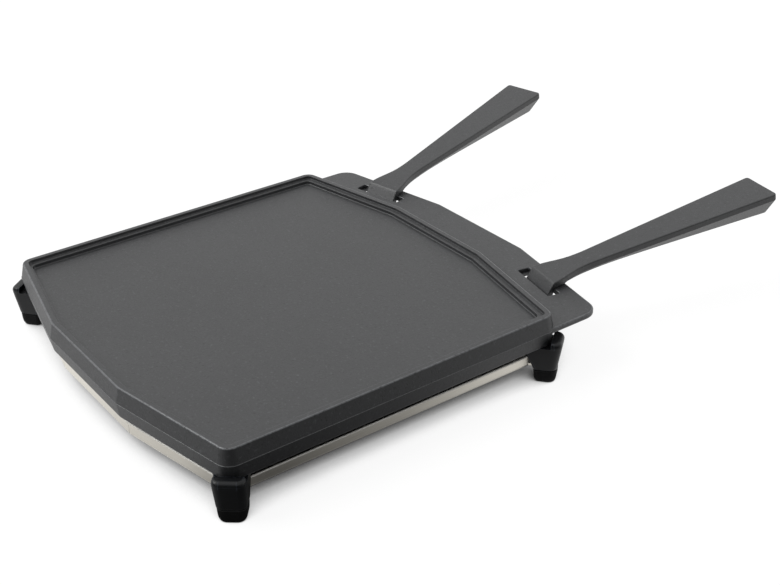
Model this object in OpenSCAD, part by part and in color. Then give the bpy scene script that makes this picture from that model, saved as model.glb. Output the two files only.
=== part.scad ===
// Cast griddle plate with two hook-in handles, standing on a bent sheet trivet with four moulded feet.
// Millimetres, +Z up, the handles point to +Y. The origin is the middle of the whole set's box, on the
// surface that it stands on.

/* [Griddle plate] */
// Width of the plate over the top of its rim
plate_w = 300; // [270:5:330]
// Length of the straight left and right sides
side_len = 252; // [230:2:280]
// How far the front and rear ends bulge past the side corners
end_bulge = 19.6; // [14:0.4:24]
// Length of the middle straight of each end
mid_len = 100; // [86:2:110]
// Thickness of the casting over both rims
plate_t = 22; // [20:0.5:26]
// How far the parting line stands out past the top of the rim
draft_top = 2.4; // [1:0.2:3]
// How far the parting line stands out past the lower rim
draft_low = 1.4; // [1:0.2:3]
// Radius of the four side corners
corner_r = 8; // [6:1:12]
// Radius of the four slight bends in the ends
bend_r = 6; // [3:1:12]
// Chamfer along the outer rim edges
edge_c = 0.7; // [0.3:0.1:1.2]
// Width of the rim's top
rim_w = 4.2; // [3:0.2:6]
// Drop from the rim to the ledge inside it
ledge_drop = 2.2; // [1.6:0.2:3]
// Run of the ledge
ledge_w = 3.6; // [3:0.2:6]
// Depth of the cooking surface below the rim
cook_depth = 5.2; // [4.6:0.2:7]
// Thickness of the web between the two faces
web_t = 7.4; // [6:0.2:9]
// Width of the lower rim
low_rim_w = 6; // [5:0.5:9]
// Number of ridges on the underside
ridge_n = 11; // [7:2:13]
// Ridge spacing
ridge_pitch = 24; // [18:1:25]
// How far the ridges stop short of the lower rim
ridge_rise = 4.6; // [4.4:0.2:5.6]

/* [Rear flange] */
// Depth of the flange behind the plate
flange_d = 39.6; // [34:0.4:46]
// Thickness of the flange
flange_t = 4.2; // [3.6:0.2:5]
// Radius of the flange's outer corners
flange_r = 13; // [8:1:18]
// Distance of each handle slot's middle from the plate's side
slot_side = 53.5; // [50:0.5:58]
// Distance of the slot's middle from the flange's rear edge
slot_inset = 16; // [15:0.1:17]
// Length of the handle slot
slot_len = 47; // [40:1:52]
// Width of the handle slot
slot_w = 9.4; // [9:0.1:10.4]

/* [Handles] */
// Outward turn of each handle
splay = 11.5; // [8:0.5:14]
// Upward slope of each handle
rise = 9; // [7:0.5:12]
// Length from the hook to the end
handle_len = 195; // [150:1:230]
// Height of the top face above the flange at the hook
nose_h = 4.3; // [4:0.1:5]
// Width at the hook
hook_w = 29.4; // [26:0.2:32]
// Width at the neck
neck_w = 18; // [14:0.5:20]
// Distance from the hook to the neck
neck_at = 41; // [36:1:46]
// Width at the end
end_w = 35.4; // [28:0.2:40]
// Depth at the neck
neck_d = 6.9; // [6:0.1:8]
// Depth at the end
end_d = 20.9; // [16:0.1:24]
// Width of the keel under the grip
keel_w = 11; // [8:0.5:13]
// Height of the upright sides of the grip
side_h = 4.6; // [3.6:0.2:5]
// Gap between the hook's lip and the flange
lip_gap = 0.5; // [0.4:0.1:0.8]
// How far the handle sits behind the middle of its slot
hook_set = 0.1; // [0:0.1:0.3]

/* [Trivet tray] */
// Thickness of the sheet
sheet_t = 1.5; // [1:0.1:2]
// Height of the sheet's underside above the ground
tray_z = 11.6; // [11.2:0.1:12.4]
// Height of the upturned edge over the sheet's underside
edge_h = 7; // [5.6:0.2:8.4]
// Outside radius of the bends
bend_out_r = 2.4; // [2.3:0.1:3]
// How far the tray's ends stay inside the plate's rim
tray_end_inset = 3.9; // [3:0.1:6]
// How far the tray's sides stay inside the plate's rim
tray_side_inset = 6; // [5:0.1:8]
// How far the upturned edges stop before the plate's corners
edge_stop = 16; // [15:0.5:20]
// Width of the corner tabs
tab_w = 13; // [11:0.5:14]

/* [Feet] */
// Width of the foot across the plate's corner
foot_w = 20.6; // [19.4:0.2:23]
// Width of the foot at its joint with the pad
foot_low_w = 19; // [17.6:0.2:19.4]
// How far the foot stands out past the rim's corner
foot_out = 7; // [6.4:0.1:8]
// How far the foot stands out at its joint with the pad
foot_low_out = 3.9; // [3:0.1:5]
// How far the seat reaches inside the rim's corner
foot_in = 19.6; // [18:0.2:21]
// How far the foot reaches inside at its joint with the pad
foot_low_in = 12.2; // [11:0.1:13]
// Radius of the foot's outer upright edges
foot_r = 5; // [3.8:0.1:5.6]
// Height at which the plate rests
seat_z = 27.5; // [27:0.5:32]
// Height of the lug above the seat
lug_h = 4.2; // [3.4:0.2:6]
// Room between the lug and the plate's corner
lug_gap = 0.6; // [0.5:0.1:1.5]
// Height of the rubber pad
pad_h = 10; // [9:0.2:10.4]
// Radius of the screw shank
screw_r = 2; // [1.6:0.1:2.4]
// Radius of the screw head
screw_head_r = 3.6; // [3.2:0.1:4]
// Length of the screw shank
screw_len = 13; // [10:0.5:14]
// Room round the screw
screw_gap = 0.2; // [0.1:0.05:0.4]

/* [Hidden] */
$fn = 48;
iron = "#5b5d5f";
iron_dark = "#55575a";
steel = "#c9c4b8";
nylon = "#17181a";
rubber = "#202122";
zinc = "#a8a9ab";

// heights of the casting
top_z = seat_z + plate_t;
part_z = seat_z + plate_t / 2;
cook_z = top_z - cook_depth;
under_z = cook_z - web_t;
flange_top = part_z + flange_t * 0.43;
flange_low = flange_top - flange_t;

// plan of the casting
half_w = plate_w / 2;
half_l = side_len / 2;
half_m = mid_len / 2;
slot_x = half_w - slot_side;
slant = atan(end_bulge / (half_w - half_m));
rim_pts = [[half_w, -half_l], [half_w, half_l], [half_m, half_l + end_bulge],
  [-half_m, half_l + end_bulge], [-half_w, half_l], [-half_w, -half_l],
  [-half_m, -half_l - end_bulge], [half_m, -half_l - end_bulge]];
is_corner = [true, true, false, false, true, true, false, false];

// place of the hook's axis, and the set's middle along Y
edge_y = half_l + flange_d + end_bulge * (half_w - slot_x) / (half_w - half_m);
slot_y = edge_y - slot_inset;
pivot_z = flange_top - flange_t / 2;
end_s = handle_len * cos(rise);
heel_y = 13.5;
y_back = slot_y + hook_set * cos(splay) + max(end_s * cos(splay) + (end_w / 2 - 2.6) * sin(splay),
  (end_s + end_d * sin(rise)) * cos(splay) + keel_w / 2 * sin(splay));
y_front = -half_l - end_bulge - draft_top;
y_mid = (y_back + y_front) / 2;

// feet: u runs outward along each corner's bisector, from the rim's sharp corner
foot_turn = (90 - slant) / 2;
lug_in = draft_top - draft_low * (1 - lug_h / (plate_t / 2)) - corner_r * (1 / cos(foot_turn) - 1) + lug_gap;
lug_z = seat_z + lug_h;
screw_u = -4;

function unit(v) = v / norm(v);
function mix(a, b, t) = a + (b - a) * t;
function edge_normal(p, q) = let (d = unit(q - p)) [d[1], -d[0]];
// outline moved outward by d, with sharp corners
function grown(pts, d) = [for (i = [0 : len(pts) - 1])
  let (n = len(pts), a = edge_normal(pts[(i + n - 1) % n], pts[i]), b = edge_normal(pts[i], pts[(i + 1) % n]))
  pts[i] + d * (a + b) / (1 + a * b)];
// arc that rounds the corner q between p and s
function fillet(p, q, s, r, n) = let (u = unit(p - q), v = unit(s - q), h = acos(u * v) / 2,
  c = q + unit(u + v) * r / sin(h), t = q + u * r / tan(h), a = atan2(t[1] - c[1], t[0] - c[0]))
  [for (k = [0 : n]) c + r * [cos(a + (180 - 2 * h) * k / n), sin(a + (180 - 2 * h) * k / n)]];
// rounded outline of the plate, moved outward by d, with its own corner radius
function plan(d, r = undef) = let (g = grown(rim_pts, d), n = len(g))
  [for (i = [0 : n - 1])
    let (own = is_undef(r) ? max(corner_r + d, 2) : r, q = is_corner[i] ? own : max(bend_r + d, 2))
    each fillet(g[(i + n - 1) % n], g[i], g[(i + 1) % n], q, is_corner[i] ? 8 : 3)];
// rounded rectangle from u0 to u1, half width v, with radius a at the outer and b at the inner end
function block(u0, u1, v, a, b) = let (g = [[u1, -v], [u1, v], [u0, v], [u0, -v]])
  [for (i = [0 : 3]) each fillet(g[(i + 3) % 4], g[i], g[(i + 1) % 4], i < 2 ? a : b, 6)];

// closed solid through rings of equal count, each [points, height]
module loft(rings) {
  n = len(rings[0][0]);
  m = len(rings);
  polyhedron([for (r = rings, p = r[0]) [p[0], p[1], r[1]]],
    concat([[for (i = [0 : n - 1]) i]],
      [for (k = [0 : m - 2], i = [0 : n - 1], f = [0, 1])
        let (a = k * n + i, b = k * n + (i + 1) % n, c = (k + 1) * n + (i + 1) % n, d = (k + 1) * n + i)
        f == 0 ? [a, d, c] : [a, c, b]],
      [[for (i = [n - 1 : -1 : 0]) (m - 1) * n + i]]), convexity = 6);
}

module centred() {
  translate([0, -y_mid, 0]) children();
}

module slab(pts, z0, z1) {
  translate([0, 0, z0]) linear_extrude(z1 - z0) polygon(pts);
}

// Griddle plate
module plate_body() {
  low = draft_top - draft_low;
  loft([[plan(low - edge_c), seat_z], [plan(low), seat_z + edge_c], [plan(draft_top), part_z],
    [plan(0), top_z - edge_c], [plan(-edge_c), top_z]]);
}

module cooking_recess() {
  a = -rim_w - ledge_w;
  loft([[plan(a - 1.0, 4.6), cook_z + 0.6], [plan(a, 4), top_z - ledge_drop - 0.3],
    [plan(-rim_w - 0.6, 4), top_z - ledge_drop + 0.3], [plan(-rim_w, 4.4), top_z - 0.4],
    [plan(-rim_w + 0.4, 4.6), top_z], [plan(-rim_w + 0.4, 4.6), top_z + 1]]);
  slab(plan(a - 1.6, 5), cook_z, cook_z + 1);
}

module under_recess() {
  a = -low_rim_w;
  loft([[plan(a + 1, 8), seat_z - 1], [plan(a + 1, 8), seat_z], [plan(a, 9), seat_z + 3],
    [plan(a - 1.4, 10), under_z]]);
}

module ridges() {
  tip = seat_z + ridge_rise;
  run = side_len - 22;
  for (i = [0 : ridge_n - 1])
    translate([(i - (ridge_n - 1) / 2) * ridge_pitch, run / 2, 0]) rotate([90, 0, 0]) linear_extrude(run)
      polygon([[-4.2, under_z + 0.5], [-2, tip + 0.6], [-1.4, tip], [1.4, tip], [2, tip + 0.6],
        [4.2, under_z + 0.5]]);
}

module flange_body() {
  w = half_w + draft_top - 0.2;
  m = half_m - 0.8;
  rear = half_l + end_bulge + flange_d;
  g = [[w, 60], [w, half_l + flange_d], [m, rear], [-m, rear], [-w, half_l + flange_d], [-w, 60]];
  pts = concat([g[0]], fillet(g[0], g[1], g[2], flange_r, 12), fillet(g[1], g[2], g[3], bend_r, 3),
    fillet(g[2], g[3], g[4], bend_r, 3), fillet(g[3], g[4], g[5], flange_r, 12), [g[5]]);
  difference() {
    slab(pts, flange_low, flange_top);
    slab(plan(-3), flange_low - 1, flange_top + 1);
    for (s = [-1, 1])
      translate([s * slot_x, slot_y, flange_low - 1]) rotate([0, 0, -s * splay]) handle_slot();
  }
}

module handle_slot() {
  h = flange_t + 2;
  e = (slot_len - slot_w) / 2;
  translate([-e, -slot_w / 2, 0]) cube([2 * e, slot_w, h]);
  for (s = [-1, 1]) translate([s * e, 0, 0]) cylinder(h = h, d = slot_w);
}

module griddle_plate() {
  color(iron) centred() {
    difference() {
      plate_body();
      cooking_recess();
      under_recess();
    }
    ridges();
    flange_body();
  }
}

// Handles, in their own frame: X across, Y outward from the hook, Z from the flange's top
function grip_half(a) = a < neck_at
  ? neck_w / 2 + (hook_w - neck_w) / 2 * pow((1 + cos(180 * (a - 4) / (neck_at - 4))) / 2, 1.7)
  : neck_w / 2 + (end_w - neck_w) / 2 * (a - neck_at) / (handle_len - neck_at);
function grip_depth(a) = a < neck_at ? 3.4 + (neck_d - 3.4) * sin(90 * (a - 4) / (neck_at - 4))
  : neck_d + (end_d - neck_d) * (a - neck_at) / (handle_len - neck_at);
function keel_half(a) = a < neck_at ? grip_half(a) - 0.4 - (a - 4) / (neck_at - 4)
  : keel_w / 2 + (neck_w / 2 - 1.4 - keel_w / 2) * exp(-(a - neck_at) / 18);
// section across the grip: top corners, upright sides, slanted lower sides, keel
function grip_ring(w, d, k) = let (c = 0.5, h = min(side_h, d - 0.8))
  [[w, -c], [w - c, 0], [c - w, 0], [-w, -c], [-w, -h], [-k, -d], [k, -d], [w, -h]];

// height of the top face at y
function top_at(y) = nose_h + y * tan(rise);

module grip() {
  e = handle_len;
  steps = concat([4, 8, 13, 19, 26, 33], [for (i = [0 : 6]) neck_at + (e - 2.5 - neck_at) * i / 6]);
  rings = concat([for (a = steps) [a, grip_ring(grip_half(a), grip_depth(a), keel_half(a))]],
    [[e - 0.7, grip_ring(grip_half(e) - 0.9, grip_depth(e), keel_half(e))],
    [e, grip_ring(grip_half(e) - 2.6, grip_depth(e), keel_half(e))]]);
  n = len(rings[0][1]);
  m = len(rings);
  translate([0, 0, nose_h]) rotate([rise, 0, 0])
    polyhedron([for (r = rings, p = r[1]) [p[0], r[0], p[1]]],
      concat([[for (i = [n - 1 : -1 : 0]) i]],
        [for (k = [0 : m - 2], i = [0 : n - 1], f = [0, 1])
          let (a = k * n + i, b = k * n + (i + 1) % n, c = (k + 1) * n + (i + 1) % n, d = (k + 1) * n + i)
          f == 0 ? [a, c, d] : [a, b, c]],
        [[for (i = [0 : n - 1]) (m - 1) * n + i]]), convexity = 4);
}

// side view of the hook: sloped nose down into the slot, lip under the flange, heel on the flange
module hook_profile() {
  far = slot_w / 2 - hook_set;
  under = -flange_t - lip_gap;
  polygon([[heel_y, 0], [far - 1, 0], [far - 0.5, -flange_t / 2], [far - 1, -flange_t],
    [far - 2.2, under - 1.8], [far - 3.6, under - 3.4], [far - 5.2, under - 4.2],
    [-10.6, under - 4.2], [-11.6, under - 3.6], [-12, under - 2.6], [-11.8, under - 0.6], [-10.8, under],
    [-2.6, under], [-2.1, under + 0.3],
    [3.5, top_at(3.7) - 0.4], [3.8, top_at(3.8) + 0.05], [7, top_at(7) - 0.3],
    [heel_y, top_at(heel_y) - 1.2]]);
}

// plan of the hook: straight nose, then the grip's own outline
module hook_plan() {
  half = concat([[hook_w / 2 + 0.3, -14], [hook_w / 2 + 0.3, -2], [hook_w / 2, 3.7]],
    [for (a = [7, 10, heel_y + 1]) [grip_half(a) - 0.3, a]]);
  n = len(half);
  polygon(concat(half, [for (i = [n - 1 : -1 : 0]) [-half[i][0], half[i][1]]]));
}

module handle() {
  w = hook_w + 8;
  low = flange_t + lip_gap + 6;
  translate([0, hook_set, 0]) {
    grip();
    intersection() {
      translate([-w / 2, 0, 0]) rotate([90, 0, 90]) linear_extrude(w) hook_profile();
      translate([0, 0, -low]) linear_extrude(low + nose_h + 8) hook_plan();
    }
  }
}

module handle_right() {
  color(iron_dark) centred() translate([slot_x, slot_y, flange_top]) rotate([0, 0, -splay]) handle();
}

module handle_left() {
  color(iron_dark) centred() translate([-slot_x, slot_y, flange_top]) rotate([0, 0, splay]) handle();
}

// Trivet tray: flat sheet, an upturned edge along each side, a tab under each foot
tray_pts = let (x = half_w - tray_side_inset, m = half_m - tray_end_inset * tan(slant / 2),
  y = half_l - tray_end_inset / cos(slant) + end_bulge * tray_side_inset / (half_w - half_m),
  t = half_l + end_bulge - tray_end_inset)
  [[x, -y], [x, y], [m, t], [-m, t], [-x, y], [-x, -y], [-m, -t], [m, -t]];

// upturned edge along +X, outer face on Y = 0, bend at the bottom
module upturn(run) {
  r = bend_out_r;
  q = 2.5;
  intersection() {
    rotate([90, 0, 90]) linear_extrude(run) {
      translate([-sheet_t, r]) square([sheet_t, edge_h - r]);
      translate([-r - 1, 0]) square([1, sheet_t]);
      translate([-r, r]) intersection() {
        difference() {
          circle(r = r);
          circle(r = r - sheet_t);
        }
        translate([0, -r]) square([r, r]);
      }
    }
    translate([0, 1, 0]) rotate([90, 0, 0]) linear_extrude(r + 3) {
      translate([0, -1]) square([run, edge_h - q + 1]);
      translate([q, 0]) square([run - 2 * q, edge_h]);
      for (x = [q, run - q]) translate([x, edge_h - q]) circle(r = q);
    }
  }
}

module tray_edge(p, q, from, to) {
  d = unit(q - p);
  o = p + d * from;
  translate([o[0], o[1], tray_z]) rotate([0, 0, atan2(d[1], d[0])]) mirror([0, 1, 0])
    upturn(norm(q - p) - from - to);
}

module corner_tab() {
  difference() {
    union() {
      translate([-30, -tab_w / 2, tray_z]) cube([30 + screw_u, tab_w, sheet_t]);
      translate([screw_u, 0, tray_z]) cylinder(h = sheet_t, d = tab_w - 3);
    }
    translate([screw_u, 0, tray_z - 1]) cylinder(h = sheet_t + 2, r = screw_r + screw_gap);
  }
}

module tray_sheet() {
  r = bend_out_r + 0.5;
  cut = 21;
  g = grown(tray_pts, -r);
  n = len(g);
  pts = [for (i = [0 : n - 1]) each is_corner[i]
    ? [g[i] + unit(g[(i + n - 1) % n] - g[i]) * cut, g[i] + unit(g[(i + 1) % n] - g[i]) * cut] : [g[i]]];
  slab(pts, tray_z, tray_z + sheet_t);
}

module trivet_tray() {
  gap = 0.4;
  color(steel) centred() {
    tray_sheet();
    tray_edge(tray_pts[0], tray_pts[1], edge_stop, edge_stop);
    tray_edge(tray_pts[1], tray_pts[2], edge_stop, gap);
    tray_edge(tray_pts[2], tray_pts[3], gap, gap);
    tray_edge(tray_pts[3], tray_pts[4], gap, edge_stop);
    tray_edge(tray_pts[4], tray_pts[5], edge_stop, edge_stop);
    tray_edge(tray_pts[5], tray_pts[6], edge_stop, gap);
    tray_edge(tray_pts[6], tray_pts[7], gap, gap);
    tray_edge(tray_pts[7], tray_pts[0], gap, edge_stop);
    for (sx = [-1, 1], sy = [-1, 1]) at_corner(sx, sy) corner_tab();
  }
}

// Feet
module at_corner(sx, sy) {
  translate([sx * half_w, sy * half_l, 0])
    rotate([0, 0, atan2(sy * sin(foot_turn), sx * cos(foot_turn))]) children();
}

// ring of the foot, set in by i, o and w from its full depth, reach and half width
function foot_ring(i, o, w) = block(i - foot_in, foot_out - o, foot_w / 2 - w, foot_r - o * 0.35, 2.6);
// ring of the foot's lower part, a share t of the way from the pad up to the seat
function low_ring(t, i) = block(mix(i - foot_low_in, -foot_in, t), mix(foot_low_out, foot_out, t),
  mix(foot_low_w, foot_w, t) / 2, foot_r, 2.6);
// ring of the pad, set in by i, o and w from the foot's lower end
function pad_ring(i, o, w) = block(i - foot_low_in, foot_low_out - o, foot_low_w / 2 - w, foot_r - 0.2, 2.8);

module foot() {
  top = lug_z;
  h = seat_z - pad_h;
  difference() {
    loft([[low_ring(0, 0), pad_h], [low_ring(0.17, 0.4), pad_h + 0.17 * h],
      [low_ring(0.6, -2), pad_h + 0.6 * h], [foot_ring(0, 0.1, 0.1), seat_z],
      [foot_ring(0, 0, 0), top - 0.75 * lug_h], [foot_ring(0, 0.4, 0.3), top - 0.45 * lug_h],
      [foot_ring(0.6, 1.3, 0.9), top - 0.18 * lug_h], [foot_ring(1, 3.1, 1.9), top]]);
    translate([-2 * foot_in, -foot_w, seat_z]) cube([2 * foot_in + lug_in, 2 * foot_w, lug_h + 1]);
    translate([-2 * foot_in, -tab_w / 2 - screw_gap, tray_z])
      cube([2 * foot_in + screw_u, tab_w + 2 * screw_gap, sheet_t + 0.1]);
    translate([screw_u, 0, tray_z]) cylinder(h = sheet_t + 0.1, d = tab_w + 2 * screw_gap);
    translate([screw_u, 0, pad_h - 1]) cylinder(h = screw_len + 2, r = screw_r + screw_gap);
  }
}

module pad() {
  difference() {
    loft([[pad_ring(2.8, 2.4, 3.2), 0], [pad_ring(1.7, 1.3, 1.8), 0.6], [pad_ring(1.1, 0.8, 1.1), 1.6],
      [pad_ring(0.8, 0.5, 0.7), 3],
      [pad_ring(0.2, 0.2, 0.2), pad_h - 0.5], [pad_ring(0.5, 0.5, 0.5), pad_h]]);
    translate([screw_u, 0, -1]) cylinder(h = pad_h + 2, r = screw_head_r + 0.4);
  }
}

// screw from below: domed head on the bracket's underside, shank up through the tab
module screw() {
  translate([screw_u, 0, pad_h]) {
    cylinder(h = screw_len, r = screw_r);
    difference() {
      translate([0, 0, -2.4]) cylinder(h = 2.4, r = screw_head_r);
      translate([0, 0, -3]) cylinder(h = 2, r = 1.6, $fn = 6);
    }
  }
}

module foot_front_left() { color(nylon) centred() at_corner(-1, -1) foot(); }
module foot_front_right() { color(nylon) centred() at_corner(1, -1) foot(); }
module foot_rear_left() { color(nylon) centred() at_corner(-1, 1) foot(); }
module foot_rear_right() { color(nylon) centred() at_corner(1, 1) foot(); }
module pad_front_left() { color(rubber) centred() at_corner(-1, -1) pad(); }
module pad_front_right() { color(rubber) centred() at_corner(1, -1) pad(); }
module pad_rear_left() { color(rubber) centred() at_corner(-1, 1) pad(); }
module pad_rear_right() { color(rubber) centred() at_corner(1, 1) pad(); }
module screw_front_left() { color(zinc) centred() at_corner(-1, -1) screw(); }
module screw_front_right() { color(zinc) centred() at_corner(1, -1) screw(); }
module screw_rear_left() { color(zinc) centred() at_corner(-1, 1) screw(); }
module screw_rear_right() { color(zinc) centred() at_corner(1, 1) screw(); }

griddle_plate();
handle_left();
handle_right();
trivet_tray();
foot_front_left();
foot_front_right();
foot_rear_left();
foot_rear_right();
pad_front_left();
pad_front_right();
pad_rear_left();
pad_rear_right();
screw_front_left();
screw_front_right();
screw_rear_left();
screw_rear_right();
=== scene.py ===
import bpy
import math
import numpy as np
from mathutils import Matrix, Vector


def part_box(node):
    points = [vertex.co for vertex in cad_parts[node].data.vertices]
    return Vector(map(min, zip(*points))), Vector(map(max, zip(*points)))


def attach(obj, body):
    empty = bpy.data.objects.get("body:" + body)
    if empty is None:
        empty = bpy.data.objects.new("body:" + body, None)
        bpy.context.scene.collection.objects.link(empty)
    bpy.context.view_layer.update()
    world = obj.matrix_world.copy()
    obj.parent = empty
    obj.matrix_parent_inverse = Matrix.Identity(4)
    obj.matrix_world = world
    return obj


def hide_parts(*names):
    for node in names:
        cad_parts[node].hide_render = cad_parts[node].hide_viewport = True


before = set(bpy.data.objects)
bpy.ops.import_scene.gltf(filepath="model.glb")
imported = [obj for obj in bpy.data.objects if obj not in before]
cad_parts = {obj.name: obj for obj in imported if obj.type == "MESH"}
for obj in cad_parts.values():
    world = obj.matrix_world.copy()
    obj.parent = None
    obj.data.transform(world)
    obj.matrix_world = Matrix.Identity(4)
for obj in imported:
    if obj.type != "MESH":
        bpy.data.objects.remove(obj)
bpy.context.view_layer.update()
mm = 0.001
frontToMid = 148.0  # mm from the casting's front edge to the middle of its rim outline
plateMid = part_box("griddle_plate")[0].y / mm + frontToMid  # y in the shared frame
print("frame loaded:", len(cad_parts), "nodes, plate middle at y", round(plateMid, 3), "mm")


# Shape tools: arrays of points, never one vertex at a time

def unit(v):
    # v divided by its length
    return v / np.linalg.norm(v, axis=-1, keepdims=True)


def roundedRing(corners, radii, steps, ease):
    # every corner q becomes an arc of radius r touching both its edges: with u and v towards the neighbours
    # and h half the angle between them, its centre is q + unit(u + v) r / sin h; a point ease past each end
    # of the arc keeps the flats flat
    u = unit(np.roll(corners, 1, -2) - corners)
    v = unit(np.roll(corners, -1, -2) - corners)
    r = np.broadcast_to(radii, corners.shape[:-1])[..., None]
    h = np.arccos(np.clip((u * v).sum(-1, keepdims=True), -1, 1)) / 2
    side = -np.sign(u[..., 0] * v[..., 1] - u[..., 1] * v[..., 0])[..., None]
    reach = r / np.tan(h)
    centre = corners + unit(u + v) * r / np.sin(h)
    first = corners + u * reach - centre
    share = np.linspace(0, 1, steps + 1)
    turn = np.arctan2(first[..., 1], first[..., 0])[..., None] + side * (math.pi - 2 * h) * share
    arc = centre[..., None, :] + r[..., None, :] * np.stack([np.cos(turn), np.sin(turn)], -1)
    before = (corners + u * (reach + ease))[..., None, :]
    after = (corners + v * (reach + ease))[..., None, :]
    ring = np.concatenate([before, arc, after], -2)
    return ring.reshape(*corners.shape[:-2], -1, 2)


def roundedPath(points, radii, steps, ease):
    # the same arcs on an open line: the ends stay as they are, the corners between them are rounded
    points = np.asarray(points, float)
    ring = roundedRing(points, np.concatenate([[0.01], radii, [0.01]]), steps, ease)
    return np.concatenate([points[:1], ring[steps + 3:-steps - 3], points[-1:]])


def grown(corners, by):
    # outline with each edge moved outward by its own distance: a and b are the normals of the edges before
    # and after a corner q, c = a.b, and q goes to q + (da (a - c b) + db (b - c a)) / (1 - c c)
    edge = unit(np.roll(corners, -1, -2) - corners)
    b = np.stack([edge[..., 1], -edge[..., 0]], -1)
    a = np.roll(b, 1, -2)
    c = (a * b).sum(-1, keepdims=True)
    by = np.asarray(by, float)
    db = np.broadcast_to(by, (*by.shape[:-1], corners.shape[-2]))[..., None]
    da = np.roll(db, 1, -2)
    return corners + (da * (a - c * b) + db * (b - c * a)) / (1 - c * c)


def boxCorners(u0, u1, v):
    # rectangles from u0 to u1 with half width v, anticlockwise, one for each value
    return np.stack([np.stack([u1, -v], -1), np.stack([u1, v], -1),
                     np.stack([u0, v], -1), np.stack([u0, -v], -1)], 1)


def gridFaces(rows, cols, wrapRows=False, wrapCols=True):
    # quads between neighbours of a grid of rows by cols points
    i, j = np.meshgrid(np.arange(rows - (not wrapRows)), np.arange(cols - (not wrapCols)), indexing="ij")
    up, on = (i + 1) % rows, (j + 1) % cols
    return np.stack([i * cols + j, i * cols + on, up * cols + on, up * cols + j], -1).reshape(-1, 4)


def loftFaces(rows, cols):
    # grid closed round its columns, with a lid on its first and on its last row
    last = (rows - 1) * cols
    return gridFaces(rows, cols).tolist() + [list(range(cols))[::-1], list(range(last, last + cols))]


def stacked(rings, heights):
    # one flat ring at each height
    return np.concatenate([rings, np.broadcast_to(heights[:, None, None], rings[..., :1].shape)], -1)


def solid(name, points, faces=None):
    # points in millimetres, a grid of rows and columns, become one mesh object at the origin
    mesh = bpy.data.meshes.new(name)
    faces = loftFaces(*points.shape[:2]) if faces is None else faces
    mesh.from_pydata((points.reshape(-1, 3) * mm).tolist(), [], faces)
    mesh.validate()
    obj = bpy.data.objects.new(name, mesh)
    bpy.context.scene.collection.objects.link(obj)
    return obj


def baked(obj):
    # what the modifiers give becomes the mesh itself
    bpy.context.view_layer.update()
    done = bpy.data.meshes.new_from_object(obj.evaluated_get(bpy.context.evaluated_depsgraph_get()))
    obj.modifiers.clear()
    obj.data = done
    return obj


def combine(obj, tool, operation):
    # the tool is joined to the piece or cut from it, and then removed
    cut = obj.modifiers.new(operation, "BOOLEAN")
    cut.operation, cut.object, cut.solver = operation, tool, "EXACT"
    baked(obj)
    bpy.data.objects.remove(tool)
    return obj


def shade(obj, angle):
    # smooth faces, edges sharper than the angle stay crisp, large flats keep their own normal
    obj.data.shade_smooth()
    obj.data.set_sharp_from_angle(angle=math.radians(angle))
    even = obj.modifiers.new("evenFlats", "WEIGHTED_NORMAL")
    even.mode, even.weight, even.keep_sharp = "FACE_AREA", 50, True
    return baked(obj)


roundedEdgeMark = {"leastSquare": 0.0025, "leastLong": 0.001, "narrow": 0.9, "fade": 0.4}  # mm2, mm


def markEdges(obj, plain):
    # how sharply the surface bends outward at each point, 2 n.(p - q) / |p - q| squared over its edges, in
    # 1/mm; it counts only on faces narrower than about a millimetre, which are the roundings, so that flats
    # stay plain
    mesh = obj.data

    def read(items, field, kind, width):
        values = np.empty(len(items) * width, kind)
        items.foreach_get(field, values)
        return values.reshape(-1, width) if width > 1 else values

    p, n = read(mesh.vertices, "co", float, 3) / mm, read(mesh.vertex_normals, "vector", float, 3)
    a, b = read(mesh.edges, "vertices", int, 2).T
    way = p[a] - p[b]
    long = np.linalg.norm(way, axis=1)
    square = np.maximum(long ** 2, roundedEdgeMark["leastSquare"])
    bend = np.zeros(len(p))
    rubbedAndHighlight = ~plain(p)
    np.maximum.at(bend, a, 2 * (n[a] * way).sum(-1) / square)
    np.maximum.at(bend, b, -2 * (n[b] * way).sum(-1) / square)
    face = np.repeat(np.arange(len(mesh.polygons)), read(mesh.polygons, "loop_total", int, 1))
    longest = np.full(len(mesh.polygons), roundedEdgeMark["leastLong"])
    np.maximum.at(longest, face, long[read(mesh.loops, "edge_index", int, 1)])
    wide = read(mesh.polygons, "area", float, 1) / mm ** 2 / longest
    narrow = np.clip((roundedEdgeMark["narrow"] - wide) / roundedEdgeMark["fade"], 0, 1)
    # in iron and black plastic this mask pales rounded edges, partly real wear and partly a painted
    # highlight; in the steel it marks the sheared edge
    wearAndHighlight = (rubbedAndHighlight * np.clip(bend, 0, 1))[read(mesh.loops, "vertex_index", int, 1)] * narrow[face]
    mesh.attributes.new("roundedEdge", "FLOAT", "CORNER").data.foreach_set("value", wearAndHighlight)


def nowhere(p):
    return np.zeros(len(p), bool)


def finishPiece(obj, material, body, slot, *nodes, plain=nowhere):
    # plain tells which points keep no paler rounded edge, which is partly wear and partly painted highlight
    markEdges(obj, plain)
    obj.data.materials.clear()
    obj.data.materials.append(material)
    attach(obj, body)
    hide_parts(*nodes)
    print("piece", obj.name, len(obj.data.vertices), "points")
    return obj


# Materials

def hexColour(text):
    # sRGB to linear: c / 12.92 up to 0.04045, above it ((c + 0.055) / 1.055) to the power 2.4
    c = np.array([int(text[i:i + 2], 16) for i in (1, 3, 5)]) / 255
    return (*np.where(c <= 0.04045, c / 12.92, ((c + 0.055) / 1.055) ** 2.4).tolist(), 1.0)


def addNode(tree, kind, settings={}, values={}, links={}):
    # one node with its settings, its fixed inputs and what is linked to the others
    new = tree.nodes.new(kind)
    for name, value in settings.items():
        setattr(new, name, value)
    for name, value in values.items():
        new.inputs[name].default_value = value
    for name, source in links.items():
        tree.links.new(source, new.inputs[name])
    return new


def newMaterial(name):
    material = bpy.data.materials.new(name)
    material.use_nodes = True
    material.node_tree.nodes.clear()
    return material, material.node_tree


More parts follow.
